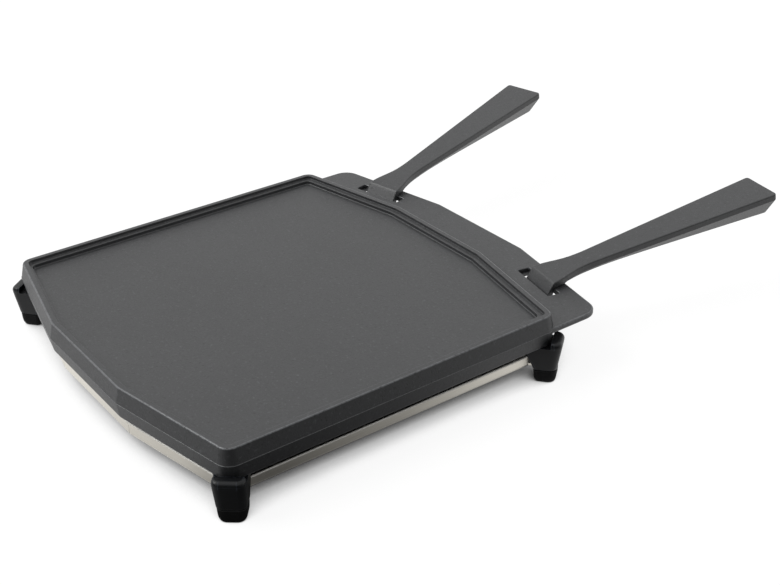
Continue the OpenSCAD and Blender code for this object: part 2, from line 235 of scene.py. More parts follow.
castIron = {
    "deep": "#202123", "pale": "#28292b",  # oil-blackened iron, between its darker and paler patches
    # the paler edge colour is partly polish from handling and partly a painted highlight
    "fleck": "#3c3e40", "pit": "#141516", "wornAndHighlight": "#606265",
    "grain": 0.9, "speck": 2.2, "mottle": 7.0, "cloud": 70.0,  # mm; sand grain is 0.2, coarser here to show
    "roughness": (0.40, 0.53), "wornRoughness": 0.36, "ior": 1.66, "bump": 0.24, "bumpDeep": 0.25,
}


def seasonedIron():
    # grey cast iron, sand cast and oiled: near black itself, a satin skin gives it its grey, fine sand grain
    # with small pits and pale flecks breaks the sheen, and its rounded edges are painted paler: partly polish
    # from handling, partly a painted highlight
    material, t = newMaterial("seasonedCastIron")
    v = castIron
    place = addNode(t, "ShaderNodeTexCoord").outputs["Object"]
    noise = {k: addNode(t, "ShaderNodeTexNoise", {},
                        {"Scale": 1 / (v[k] * mm), "Detail": d, "Roughness": 0.58},
                        {"Vector": place}).outputs["Fac"]
             for k, d in (("grain", 3), ("speck", 2), ("mottle", 3), ("cloud", 2))}
    patch = addNode(t, "ShaderNodeMix", {"data_type": "FLOAT"}, {"Factor": 0.5},
                    {"A": noise["mottle"], "B": noise["cloud"]})
    tone = addNode(t, "ShaderNodeValToRGB", {}, {}, {"Fac": patch.outputs[0]}).outputs["Color"]
    ramp = tone.node.color_ramp.elements
    ramp[0].position, ramp[1].position = 0.35, 0.65
    ramp[0].color, ramp[1].color = hexColour(v["deep"]), hexColour(v["pale"])
    # rounded edges are lightened here: partly real polish, partly a painted highlight
    edge = addNode(t, "ShaderNodeAttribute", {"attribute_name": "roundedEdge"}).outputs["Fac"]
    rubbedAndHighlight = addNode(t, "ShaderNodeMapRange", {}, {"From Min": 0.3, "From Max": 0.75, "To Max": 0.9},
                     {"Value": edge})
    broken = addNode(t, "ShaderNodeMapRange", {}, {"From Min": 0.3, "From Max": 0.55, "To Min": 0.35},
                     {"Value": noise["speck"]})
    wearAndHighlight = addNode(t, "ShaderNodeMath", {"operation": "MULTIPLY"}, {},
                   {0: rubbedAndHighlight.outputs[0], 1: broken.outputs[0]}).outputs[0]
    fleck = addNode(t, "ShaderNodeMapRange", {}, {"From Min": 0.60, "From Max": 0.74},
                    {"Value": noise["speck"]}).outputs[0]
    pit = addNode(t, "ShaderNodeMapRange", {}, {"From Min": 0.41, "From Max": 0.28},
                  {"Value": noise["speck"]}).outputs[0]
    for share, mark in ((fleck, "fleck"), (pit, "pit"), (wearAndHighlight, "wornAndHighlight")):
        tone = addNode(t, "ShaderNodeMix", {"data_type": "RGBA"}, {7: hexColour(v[mark])},
                       {"Factor": share, 6: tone}).outputs[2]
    low, high = v["roughness"]
    rough = addNode(t, "ShaderNodeMapRange", {},
                    {"From Min": 0.3, "From Max": 0.7, "To Min": low, "To Max": high},
                    {"Value": noise["grain"]}).outputs[0]
    rough = addNode(t, "ShaderNodeMix", {"data_type": "FLOAT"}, {"B": v["wornRoughness"]},
                    {"Factor": wearAndHighlight, "A": rough}).outputs[0]
    height = addNode(t, "ShaderNodeMath", {"operation": "SUBTRACT"}, {},
                     {0: noise["grain"], 1: pit}).outputs[0]
    bump = addNode(t, "ShaderNodeBump", {}, {"Strength": v["bump"], "Distance": v["bumpDeep"] * mm},
                   {"Height": height})
    skin = addNode(t, "ShaderNodeBsdfPrincipled", {}, {"Metallic": 0.0, "IOR": v["ior"]},
                   {"Base Color": tone, "Roughness": rough, "Normal": bump.outputs["Normal"]})
    addNode(t, "ShaderNodeOutputMaterial", {}, {}, {"Surface": skin.outputs["BSDF"]})
    return material


steel = {
    "low": "#d5d0c4", "high": "#eeeae1", "cutEdge": "#f7f5ef",
    "streak": 0.5, "streakRun": 30.0,  # mm across and along the brush marks
    "roughness": (0.24, 0.40), "cutRoughness": 0.6, "cutMetallic": 0.3, "bump": 0.15, "bumpDeep": 0.05,
}


def brushedStainless():
    # stainless sheet, brushed then sheared: fine streaks along the sheet, a bright rough line along its cut
    material, t = newMaterial("brushedStainlessSheet")
    v = steel
    place = addNode(t, "ShaderNodeTexCoord").outputs["Object"]
    along, across = 1 / (v["streakRun"] * mm), 1 / (v["streak"] * mm)
    run = addNode(t, "ShaderNodeMapping", {}, {"Scale": (along, along, across)}, {"Vector": place})
    streak = addNode(t, "ShaderNodeTexNoise", {}, {"Scale": 1.0, "Detail": 3, "Roughness": 0.6},
                     {"Vector": run.outputs["Vector"]}).outputs["Fac"]
    tone = addNode(t, "ShaderNodeMix", {"data_type": "RGBA"},
                   {6: hexColour(v["low"]), 7: hexColour(v["high"])}, {"Factor": streak})
    edge = addNode(t, "ShaderNodeAttribute", {"attribute_name": "roundedEdge"}).outputs["Fac"]
    cut = addNode(t, "ShaderNodeMapRange", {}, {"From Min": 0.5, "From Max": 0.8}, {"Value": edge}).outputs[0]
    colour = addNode(t, "ShaderNodeMix", {"data_type": "RGBA"}, {7: hexColour(v["cutEdge"])},
                     {"Factor": cut, 6: tone.outputs[2]})
    low, high = v["roughness"]
    rough = addNode(t, "ShaderNodeMapRange", {}, {"To Min": low, "To Max": high},
                    {"Value": streak}).outputs[0]
    rough = addNode(t, "ShaderNodeMix", {"data_type": "FLOAT"}, {"B": v["cutRoughness"]},
                    {"Factor": cut, "A": rough}).outputs[0]
    metal = addNode(t, "ShaderNodeMapRange", {}, {"To Min": 1.0, "To Max": v["cutMetallic"]},
                    {"Value": cut}).outputs[0]
    bump = addNode(t, "ShaderNodeBump", {}, {"Strength": v["bump"], "Distance": v["bumpDeep"] * mm},
                   {"Height": streak})
    skin = addNode(t, "ShaderNodeBsdfPrincipled", {}, {},
                   {"Base Color": colour.outputs[2], "Metallic": metal, "Roughness": rough,
                    "Normal": bump.outputs["Normal"]})
    addNode(t, "ShaderNodeOutputMaterial", {}, {}, {"Surface": skin.outputs["BSDF"]})
    return material


blackParts = {
    # the pale cool edge colour is partly rubbing and partly a painted highlight
    "mouldedBlackNylon": {"deep": "#08090b", "pale": "#0f1114", "rubbedAndHighlight": "#3b4049", "grain": 0.7,
                          "roughness": (0.31, 0.45), "bump": 0.14, "gloss": 0.32},
    "mouldedBlackRubber": {"deep": "#090909", "pale": "#101011", "rubbedAndHighlight": "#2c2c2d", "grain": 1.0,
                           "roughness": (0.62, 0.78), "bump": 0.2, "gloss": 0.16},
}
flowMarks = 9.0  # mm, cloudy patches where the melt flowed


def mouldedBlack(name):
    # nylon: glass-filled, moulded in a lightly etched tool, a soft sheen with a cool cast, its edges painted
    # paler and cooler, partly rubbing and partly a painted highlight; rubber: the same without the sheen
    material, t = newMaterial(name)
    v = blackParts[name]
    place = addNode(t, "ShaderNodeTexCoord").outputs["Object"]
    etch = addNode(t, "ShaderNodeTexNoise", {}, {"Scale": 1 / (v["grain"] * mm), "Detail": 2},
                   {"Vector": place}).outputs["Fac"]
    flow = addNode(t, "ShaderNodeTexNoise", {}, {"Scale": 1 / (flowMarks * mm), "Detail": 2},
                   {"Vector": place}).outputs["Fac"]
    tone = addNode(t, "ShaderNodeMix", {"data_type": "RGBA"},
                   {6: hexColour(v["deep"]), 7: hexColour(v["pale"])}, {"Factor": flow})
    # rounded edges painted paler and cooler: partly rubbing, partly a painted highlight
    edge = addNode(t, "ShaderNodeAttribute", {"attribute_name": "roundedEdge"}).outputs["Fac"]
    rubbedAndHighlight = addNode(t, "ShaderNodeMapRange", {}, {"From Min": 0.35, "From Max": 1.0, "To Max": 0.8},
                     {"Value": edge})
    colour = addNode(t, "ShaderNodeMix", {"data_type": "RGBA"}, {7: hexColour(v["rubbedAndHighlight"])},
                     {"Factor": rubbedAndHighlight.outputs[0], 6: tone.outputs[2]})
    low, high = v["roughness"]
    rough = addNode(t, "ShaderNodeMapRange", {},
                    {"From Min": 0.3, "From Max": 0.7, "To Min": low, "To Max": high}, {"Value": etch})
    bump = addNode(t, "ShaderNodeBump", {}, {"Strength": v["bump"], "Distance": 0.1 * mm}, {"Height": etch})
    skin = addNode(t, "ShaderNodeBsdfPrincipled", {}, {"IOR": 1.5, "Specular IOR Level": v["gloss"]},
                   {"Base Color": colour.outputs[2], "Roughness": rough.outputs[0],
                    "Normal": bump.outputs["Normal"]})
    addNode(t, "ShaderNodeOutputMaterial", {}, {}, {"Surface": skin.outputs["BSDF"]})
    return material


zinc = {"low": "#a9acb0", "high": "#c9c8bf", "cloud": 1.5, "roughness": (0.25, 0.45)}  # cloud in mm


def zincPlate():
    # zinc plated steel screw: pale cool metal with faint cloudy passivation
    material, t = newMaterial("zincPlatedSteel")
    v = zinc
    place = addNode(t, "ShaderNodeTexCoord").outputs["Object"]
    cloud = addNode(t, "ShaderNodeTexNoise", {}, {"Scale": 1 / (v["cloud"] * mm), "Detail": 3},
                    {"Vector": place}).outputs["Fac"]
    tone = addNode(t, "ShaderNodeMix", {"data_type": "RGBA"},
                   {6: hexColour(v["low"]), 7: hexColour(v["high"])}, {"Factor": cloud})
    low, high = v["roughness"]
    rough = addNode(t, "ShaderNodeMapRange", {}, {"To Min": low, "To Max": high}, {"Value": cloud})
    skin = addNode(t, "ShaderNodeBsdfPrincipled", {}, {"Metallic": 1.0},
                   {"Base Color": tone.outputs[2], "Roughness": rough.outputs[0]})
    addNode(t, "ShaderNodeOutputMaterial", {}, {}, {"Surface": skin.outputs["BSDF"]})
    return material


ironSkin = seasonedIron()
nylonSkin = mouldedBlack("mouldedBlackNylon")
rubberSkin = mouldedBlack("mouldedBlackRubber")
print("materials made")


# Griddle plate

plate = {
    "halfWide": 150.0, "halfSide": 126.0, "halfMid": 50.0, "halfLong": 145.6,  # rim outline, mm
    "cornerRadius": 8.0, "bendRadius": 6.0,
    "rimTop": 49.5, "cookTop": 44.3, "partHeight": 38.5, "underTop": 36.9, "restHeight": 27.5,
    "upperFrom": 42.0,  # profile points above this belong to the recess
    "ridges": 11, "ridgePitch": 24.0, "ridgeRun": 115.0, "ridgeTip": 32.1, "ridgeFade": 8.0,
    "crisp": 32,  # degrees, sharper edges stay hard
}
slant = math.atan2(plate["halfLong"] - plate["halfSide"], plate["halfWide"] - plate["halfMid"])


def rimCorners():
    # the eight corners of the rim outline, anticlockwise from the front right one, about the plate's middle
    w, s, m, e = plate["halfWide"], plate["halfSide"], plate["halfMid"], plate["halfLong"]
    return np.array([[w, -s], [w, s], [m, e], [-m, e], [-w, s], [-w, -s], [-m, -e], [m, -e]])


def plateBody():
    # rim profile (offset from the rim outline, height) carried round the eight-sided outline: for each
    # profile point the outline is moved outward by the offset and its corners rounded; the ledge is
    # narrower along the three front edges, and its walls are steeper along the three rear ones
    top, cook, part = plate["rimTop"], plate["cookTop"], plate["partHeight"]
    under, rest = plate["underTop"], plate["restHeight"]
    line = np.array([  # offset, height, radius: underside, lower rim, wall, parting line, rim, ledge, recess
        (-14, under, 0), (-7.4, under, 1.8), (-6.0, rest + 3, 5), (-5.0, rest, 0.7), (0.9, rest, 1.0),
        (2.34, part - 0.3, 0.1), (2.54, part - 0.15, 0.1), (2.54, part + 0.15, 0.1), (2.3, part + 0.3, 0.1),
        (-0.16, top, 1.0), (-4.15, top, 0.35), (-4.5, top - 2.2, 0.4), (-7.75, top - 2.45, 0.35),
        (-8.15, cook, 0.8), (-18, cook, 0)])
    profile = roundedPath(line[:, :2], line[1:-1, 2], 6, 0.06)
    off, high = profile[:, 0], profile[:, 1]
    isUpper = high > plate["upperFrom"]
    front = np.where(isUpper, np.interp(off, [-18, -8.1, -7.9, -4.4, 3], [-18, -6.4, -6.2, -4.4, 3]), off)
    rear = np.where(isUpper, np.interp(off, [-18, -8.15, -7.75, -4.5, -4.15, 3],
                                       [-18, -8.0, -7.9, -4.2, -4.15, 3]), off)
    outline = grown(rimCorners(), np.stack([off, rear, rear, rear, off, front, front, front], 1))
    inner = np.interp(off, [-18, -8.1, -7.9, -4.2, -0.2], [9, 4.2, 4.0, 4.0, 7.8])
    below = np.interp(off, [-14, -7.4, -6, -5, 0], [14, 10, 9, 8, 8])
    corner = np.where(off > -0.2, plate["cornerRadius"] + off, np.where(isUpper, inner, below))
    bend = np.maximum(plate["bendRadius"] + off, 2)
    isSide = np.array([True, True, False, False] * 2)
    rings = roundedRing(outline, np.where(isSide, corner[:, None], bend[:, None]), 10, 0.5)
    return solid("griddle_plate_body", stacked(rings, high))


def plateRidges():
    # bars under the plate: one rounded profile across x, carried along y, its height eased to a fifth at both
    # ends along a quarter circle
    base, tip, run, fade = plate["underTop"] + 0.5, plate["ridgeTip"], plate["ridgeRun"], plate["ridgeFade"]
    corners = np.array([[-4.2, base], [-1.7, tip], [1.7, tip], [4.2, base]])
    across = roundedRing(corners, np.array([0.05, 0.9, 0.9, 0.05]), 5, 0.05)
    along = run - np.array([0, 0.5, 1.5, 3, 5, 8])
    along = np.concatenate([-along, along[::-1]])
    share = np.clip((run - np.abs(along)) / fade, 0, 1)
    share = 0.2 + 0.8 * np.sqrt(1 - (1 - share) ** 2)
    at = (np.arange(plate["ridges"]) - (plate["ridges"] - 1) / 2) * plate["ridgePitch"]
    x = at[:, None, None] + across[None, None, :, 0]
    z = base - (base - across[:, 1])[None, None, :] * share[None, :, None]
    points = np.stack(np.broadcast_arrays(x, along[None, :, None], z), -1)
    count = along.size * across.shape[0]
    faces = loftFaces(along.size, across.shape[0])
    every = [[k * count + i for i in face] for k in range(plate["ridges"]) for face in faces]
    return solid("ridges", points, every)


flange = {
    "top": 40.306, "low": 36.106, "depth": 39.6, "halfWide": 152.2, "cornerRadius": 13.0, "edgeRound": 1.3,
    "fillet": 2.2, "filletEnd": 146.0, "filletFade": 14.0,  # mm: radius, end from the middle, run-out
    "slotX": 96.5, "slotY": 160.086, "slotLong": 43.2, "slotWide": 9.4, "slotRadius": 0.9,
    "splay": 11.5,  # degrees
}


def flangeBody():
    # band behind the plate: its outline, inset along a quarter circle at the top and at the bottom edge
    w, m, d = flange["halfWide"], plate["halfMid"] - 0.8, flange["depth"]
    side, rear = plate["halfSide"] + d, plate["halfLong"] + d
    inner = grown(rimCorners(), [-3.0])[1:5]
    corners = np.array([[w - 1.0, 106], [w, 127], [w, side], [m, rear], [-m, rear], [-w, side], [-w, 127],
                        [1.0 - w, 106], [-147, 106], *inner[::-1], [147, 106]])
    big = flange["cornerRadius"]
    radii = np.array([0.3, 12, big, 6, 6, big, 12, 0.3, 0.3, 2, 2, 2, 2, 0.3])
    r = flange["edgeRound"]
    turn = np.radians(np.linspace(0, 90, 6))
    inset = np.concatenate([r * (1 - np.sin(turn)), r * (1 - np.sin(turn[::-1]))])
    high = np.concatenate([flange["low"] + r * (1 - np.cos(turn)),
                           flange["top"] - r * (1 - np.cos(turn[::-1]))])
    rings = roundedRing(grown(corners, -inset[:, None]), np.maximum(radii - inset[:, None], 0.2), 8, 0.4)
    return solid("flange", stacked(rings, high))


def flangeFillet(height, way):
    # hollow round between the plate's rear wall and the flange: a quarter circle carried along the rear
    # outline, its radius growing from almost nothing at both ends
    span = 1 - np.cos(np.linspace(0, math.pi / 2, 7))
    end, fade = flange["filletEnd"], flange["filletFade"]
    half = np.concatenate([end - fade * span, np.linspace(125, 52, 6), [plate["halfMid"]]])
    x = np.concatenate([half, -half[::-1]])
    share = np.clip((end - np.abs(x)) / fade, 0, 1)
    r = flange["fillet"] * (0.06 + 0.94 * np.sqrt(1 - (1 - share) ** 2))[:, None]
    y = plate["halfLong"] - np.maximum(np.abs(x) - plate["halfMid"], 0) * math.tan(slant)
    lean = slant * np.clip((np.abs(x) - plate["halfMid"] + 0.5), 0, 1)
    n = np.stack([np.sign(x) * np.sin(lean), np.cos(lean)], -1)
    turn = np.linspace(math.pi / 2, 0, 8)
    wall = 2.38 - 2.4 * abs(height - plate["partHeight"]) / 10.3  # the wall leans in from the parting line
    none = np.zeros((x.size, 1))
    back = none - 1.6
    curve = r * (1 - np.sin(turn)) - 0.12 * r * np.sin(turn)
    out = wall + np.concatenate([back, back, curve, r], 1)
    high = np.concatenate([none - 0.8, r, r * (1 - np.cos(turn)) - 0.02, none - 0.8], 1)
    xy = np.stack([x, y], -1)[:, None, :] + out[..., None] * n[:, None, :]
    points = np.concatenate([xy, (height + way * high)[..., None]], -1)
    return solid("flangeFillet", points)


def atSlot(x, y, side, middle):
    # x along the slot and y across it, turned by the splay and moved to the slot's middle
    a = -side * math.radians(flange["splay"])
    return (side * flange["slotX"] + x * math.cos(a) - y * math.sin(a),
            middle + x * math.sin(a) + y * math.cos(a))


def slotCutter(side):
    # long hole with square ends, eased at its upper face and shorter below: a rounded rectangle at each
    # height, turned by the handle's splay
    low, top = flange["low"], flange["top"]
    rows = np.array([  # height, easing, ends set in
        (low - 1.5, 0.2, 4.2), (low, 0.2, 4.2), (low + 0.3, 0, 4.2), (low + 0.8, 0, 4.1), (low + 1.1, 0, 0.3),
        (top - 0.9, 0, 0.1), (top - 0.3, 0.1, 0), (top, 0.4, 0), (top + 1.5, 1.9, 0)])
    long, wide = flange["slotLong"] / 2 + rows[:, 1] - rows[:, 2], flange["slotWide"] / 2 + rows[:, 1]
    ring = roundedRing(boxCorners(-long, long, wide), flange["slotRadius"], 5, 0.1)
    turned = np.stack(atSlot(ring[..., 0], ring[..., 1], side, flange["slotY"]), -1)
    return solid("slotCutter", stacked(turned, rows[:, 0]))


def atPlate(obj):
    # moved along y from the plate's own middle to its place in the shared frame
    obj.data.transform(Matrix.Translation((0, plateMid * mm, 0)))
    return obj


def inRecess(p):
    # points above the cooking surface and more than 2 mm inside every edge of the rim
    corners = rimCorners()
    edge = unit(np.roll(corners, -1, 0) - corners)
    out = np.stack([edge[:, 1], -edge[:, 0]], -1)
    past = ((p[:, None, :2] - [0, plateMid] - corners) * out).sum(-1)
    return (past.max(1) < -2) & (p[:, 2] > plate["cookTop"] - 1)


griddle = combine(plateBody(), plateRidges(), "UNION")
combine(griddle, flangeBody(), "UNION")
combine(griddle, flangeFillet(flange["top"], 1), "UNION")
combine(griddle, flangeFillet(flange["low"], -1), "UNION")
combine(griddle, slotCutter(1), "DIFFERENCE")
combine(griddle, slotCutter(-1), "DIFFERENCE")
shade(atPlate(griddle), plate["crisp"])
finishPiece(griddle, ironSkin, "plate", "cast_iron", "griddle_plate", plain=inRecess)


# Handles

handle = {
    "rise": 9.0, "long": 195.0, "nose": 4.3, "hookAt": 4, "neckAt": 41.0,  # degrees, then mm
    "hookHalf": 14.7, "neckHalf": 9.0, "endHalf": 17.7, "hookDeep": 3.4, "neckDeep": 6.9, "endDeep": 20.9,
    "keelHalf": 5.5, "sideDeep": 4.6, "set": 0.1, "edgeRound": 0.9, "endRound": 2.6, "crisp": 32,
}


def handlePoints():
    # sections carried along the handle: each has a top point and a bottom point in the side view, a half
    # width, the height of its upright sides and a keel half width, and its six corners are rounded
    v = handle
    last = v["long"] - v["endRound"]
    a = np.concatenate([[16, 19, 22, 26, 30, 34, 38],
                        v["neckAt"] + (last - v["neckAt"]) * np.linspace(0, 1, 23),
                        v["long"] - np.array([1.6, 0.8, 0.3, 0.0])])
    t = (a - v["hookAt"]) / (v["neckAt"] - v["hookAt"])
    far = (a - v["neckAt"]) / (v["long"] - v["neckAt"])
    near = np.clip(t, 0, 1)
    isNeck = a < v["neckAt"]
    waist = ((1 + np.cos(math.pi * near)) / 2) ** 1.7
    half = v["neckHalf"] + np.where(isNeck, (v["hookHalf"] - v["neckHalf"]) * waist,
                                    (v["endHalf"] - v["neckHalf"]) * far)
    deep = np.where(isNeck, v["hookDeep"] + (v["neckDeep"] - v["hookDeep"]) * np.sin(math.pi / 2 * near),
                    v["neckDeep"] + (v["endDeep"] - v["neckDeep"]) * far)
    keel = np.where(isNeck, half - 0.4 - t,
                    v["keelHalf"] + (v["neckHalf"] - 1.4 - v["keelHalf"]) * np.exp(-(a - v["neckAt"]) / 18))
    inset = np.interp(a, v["long"] - np.array([v["endRound"], 1.6, 0.8, 0.3, 0.0]), [0, 0.25, 0.8, 1.5, 2.4])
    drop = np.interp(a, v["long"] - np.array([0.8, 0.3, 0.0]), [0, 0.12, 0.5])
    rise = math.radians(v["rise"])
    along, up = np.array([math.cos(rise), math.sin(rise)]), np.array([-math.sin(rise), math.cos(rise)])
    top = np.array([0, v["nose"]]) + a[:, None] * along
    low = top - (deep - drop)[:, None] * up
    top = top - drop[:, None] * up
    grip = np.column_stack([top, low, half - inset, np.minimum(v["sideDeep"], deep - 0.8),
                            keel - np.minimum(inset, 1)])
    hook = np.array([  # top y z, bottom y z, half width, side, keel: lip, bend, shank, nose, crease, heel
        (-12.0, -6.0, -12.0, -7.6, 14.0, 1.2, 13.8), (-11.8, -5.2, -11.8, -8.4, 14.7, 2.6, 14.5),
        (-11.2, -4.8, -11.2, -8.8, 15.0, 3.2, 14.7), (-10.2, -4.7, -10.2, -8.9, 15.0, 3.4, 14.7),
        (-5.0, -4.7, -6.0, -8.9, 15.0, 3.4, 14.7), (-3.0, -4.7, -2.6, -8.9, 15.0, 3.4, 14.7),
        (-2.45, -4.6, -0.8, -8.8, 15.0, 3.6, 14.7), (-2.1, -4.3, 0.9, -8.2, 15.0, 3.9, 14.7),
        (-1.6, -3.6, 2.2, -6.8, 15.0, 4.0, 14.7), (-0.7, -2.2, 3.2, -4.9, 15.0, 4.0, 14.7),
        (0.5, -0.35, 3.9, -2.9, 14.95, 3.6, 14.65), (1.8, 1.7, 4.05, -1.2, 14.9, 3.2, 14.6),
        (2.75, 3.15, 4.2, -0.3, 14.85, 3.4, 14.5), (3.3, 3.95, 4.8, 0.02, 14.8, 3.6, 14.45),
        (3.7, 4.42, 5.1, 0.03, 14.75, 3.7, 14.4), (4.2, 4.76, 5.5, 0.03, 14.7, 3.8, 14.35),
        (4.9, 4.98, 6.0, 0.03, 14.65, 3.9, 14.3), (5.9, 5.2, 7.0, 0.03, 14.55, 4.0, 14.1),
        (7.0, 5.41, 8.2, 0.03, 14.4, 4.0, 13.9), (10.5, 5.96, 11.6, 0.05, 13.85, 4.4, 13.2),
        (12.6, 6.3, 13.6, 0.35, 13.4, 4.6, 12.6), (14.2, 6.55, 15.0, 1.1, 12.95, 4.5, 12.2)])
    rows = np.concatenate([hook, grip])
    top, low, w, h, k = rows[:, :2], rows[:, 2:4], rows[:, 4], rows[:, 5], rows[:, 6]
    d = np.linalg.norm(top - low, axis=1)
    up = unit(top - low)
    across, down = np.stack([w, -w, -w, -k, k, w], 1), np.stack([0 * d, 0 * d, -h, -d, -d, -h], 1)
    small = np.minimum(0.5, d / 5)[:, None]
    upper = np.tile(np.minimum(v["edgeRound"], d / 5)[:, None], 2)
    radii = np.concatenate([upper, small, small * 1.2, small * 1.2, small], 1)
    ring = roundedRing(np.stack([across, down], -1), radii, 4, 0.08)
    y = top[:, :1] + ring[..., 1] * up[:, :1]
    z = top[:, 1:] + ring[..., 1] * up[:, 1:]
    return np.stack([ring[..., 0], y + v["set"], z], -1)


def handlePiece(name, side, body):
    # the same points for both handles, turned by the splay to either side
    points = handlePoints()
    placed = np.stack([*atSlot(points[..., 0], points[..., 1], side, flange["slotY"] + plateMid),
                       points[..., 2] + flange["top"]], -1)
    obj = shade(solid(name + "_casting", placed), handle["crisp"])
    return finishPiece(obj, ironSkin, body, "cast_iron", name)


handlePiece("handle_right", 1, "right_handle")
handlePiece("handle_left", -1, "left_handle")


# Feet, pads

foot = {
    "lowIn": 12.2, "lowOut": 3.9, "lowHalf": 9.5, "reach": 19.6, "out": 7.0, "half": 10.3,
    "outRadius": 5.0, "inRadius": 2.6, "lugRadius": 0.4,
    "padTop": 10.0, "seat": 27.5, "lugIn": -0.226, "lugTop": 31.7,
    "screwAt": -4.0, "screwHole": 2.2, "tabWide": 13.4, "tabLow": 11.6, "tabHigh": 13.2, "pocketFrom": -40,
    "crisp": 35,
}
corner = {"front_left": (-1, -1), "front_right": (1, -1), "rear_left": (-1, 1), "rear_right": (1, 1)}
footTurn = (math.pi / 2 - slant) / 2


def blocks(rows, steps):
    # rounded rectangles from u0 to u1 with half width v, radius a outside and b inside, one for each row
    u0, u1, v, a, b = (rows[:, k] for k in range(5))
    return roundedRing(boxCorners(u0, u1, v), np.stack([a, a, b, b], 1), steps, 0.08)


def atCorner(points, name):
    # u runs outward along the bisector of the plate's corner, v across it
    sx, sy = corner[name]
    a = math.atan2(sy * math.sin(footTurn), sx * math.cos(footTurn))
    u, v, z = points[..., 0], points[..., 1], points[..., 2]
    return np.stack([sx * plate["halfWide"] + u * math.cos(a) - v * math.sin(a),
                     sy * plate["halfSide"] + plateMid + u * math.sin(a) + v * math.cos(a), z], -1)


def footPoints():
    # outlines stacked from the pad's joint up to the seat, in to the lug, then up its rounded outer edge,
    # which is a quarter of an ellipse
    v = foot
    t = np.array([0.0, 0.08, 0.17, 0.35, 0.6, 0.8])
    low = np.interp(t, [0, 0.17, 0.6, 1], [-v["lowIn"], 0.33 - 0.83 * v["lowIn"] - 0.17 * v["reach"],
                                           -0.8 - 0.4 * v["lowIn"] - 0.6 * v["reach"], -v["reach"]])
    turn = np.radians(np.linspace(0, 90, 9))
    z = v["padTop"] + t * (v["seat"] - v["padTop"])
    o, a, b = v["out"], v["outRadius"], v["inRadius"]
    rise = np.column_stack([low, v["lowOut"] + (o - v["lowOut"]) * t,
                            v["lowHalf"] + (v["half"] - v["lowHalf"]) * t,
                            np.full(t.size, a), np.full(t.size, b), z, z])
    first = rise[:1] + np.array([[0.4, -0.4, -0.4, -0.3, -0.3, 0, 0]])
    rise[0, 5:] += 0.4
    s, h, i, g, c = v["seat"], v["half"], v["reach"], v["lugIn"], v["lugRadius"]
    seat = np.array([  # inner side, outer side, half width, outer and inner radius, height inside and outside
        [-i, o - 0.12, h - 0.11, a, b, s - 0.5, s - 0.5],
        [0.12 - i, o - 0.1, h - 0.1, a, b, s - 0.15, s - 0.25],
        [0.5 - i, o - 0.08, h - 0.08, a, b - 0.3, s, s - 0.05],
        [g - 0.5, o - 0.06, h - 0.06, a, c, s + 0.02, s + 0.2],
        [g - 0.14, o - 0.04, h - 0.04, a, c, s + 0.16, s + 0.4],
        [g, o - 0.02, h - 0.02, a, c, s + 0.55, s + 0.7]])
    curve = 1 - np.cos(turn)
    rounding = v["lugTop"] - s - 1.0
    high = v["lugTop"] - rounding * (1 - np.sin(turn))
    back = np.interp(turn, [0, 1.2, 1.4, math.pi / 2], [0, 0, 0.12, 0.5])
    lug = np.column_stack([g + back, o - 3.1 * curve, h - 1.9 * curve, a - 1.6 * curve,
                           np.full(turn.size, c), high, high])
    rows = np.concatenate([first, rise, seat, lug])
    ring = blocks(rows, 8)
    share = np.clip((ring[..., 0] - rows[:, :1]) / (rows[:, 1:2] - rows[:, :1]), 0, 1)
    z = rows[:, 5:6] + (rows[:, 6:7] - rows[:, 5:6]) * share
    return np.concatenate([ring, z[..., None]], -1)


def tabPocket():
    # room for the tray's tab: a slot from the inner side, round at the screw, stacked at two heights
    v = foot
    turn = np.linspace(-math.pi / 2, math.pi / 2, 17)
    r, start = v["tabWide"] / 2, v["pocketFrom"]
    u = np.concatenate([[start], v["screwAt"] + r * np.cos(turn), [start]])
    w = np.concatenate([[-r], r * np.sin(turn), [r]])
    z = np.array([v["tabLow"], v["tabHigh"]])[:, None]
    return np.stack(np.broadcast_arrays(u, w, z), -1)


def screwBore(low, high):
    # upright round bar on the screw's axis
    turn = np.arange(24) / 24 * 2 * math.pi
    z = np.array([low, high])[:, None]
    r = foot["screwHole"]
    return np.stack(np.broadcast_arrays(foot["screwAt"] + r * np.cos(turn), r * np.sin(turn), z), -1)


def padPoints():
    # outlines stacked up the outside, then the round hole back down: rows 0 to n outside, the rest inside
    v = foot
    rows = np.array([  # set in at the inner side, outer side and across, height
        (2.7, 2.2, 3.0, 0.0), (1.95, 1.5, 2.2, 0.16), (1.45, 1.1, 1.55, 0.6), (1.25, 0.9, 1.25, 1.3),
        (0.95, 0.65, 0.9, 2.2), (0.75, 0.45, 0.65, 3.4), (0.5, 0.35, 0.45, 5.8), (0.3, 0.3, 0.3, 8.9),
        (0.4, 0.4, 0.4, 9.4), (0.9, 0.9, 0.9, 9.8)])
    i, o, w, z = rows.T
    outer, inner = np.full(i.size, 4.8), np.full(i.size, 2.8)  # corner radii
    ring = blocks(np.column_stack([i - v["lowIn"], v["lowOut"] - o, v["lowHalf"] - w, outer, inner]), 8)
    outside = stacked(ring, z)
    turn = np.arctan2(ring[-1, :, 1], ring[-1, :, 0] - v["screwAt"])
    hole = np.array([(4.3, 9.9), (4.0, 9.6), (4.0, 0.5), (4.4, 0.0)])  # radius, height
    r, z = hole[:, :1], hole[:, 1:]
    inside = np.broadcast_arrays(v["screwAt"] + r * np.cos(turn), r * np.sin(turn), z)
    return np.concatenate([outside, np.stack(inside, -1)])


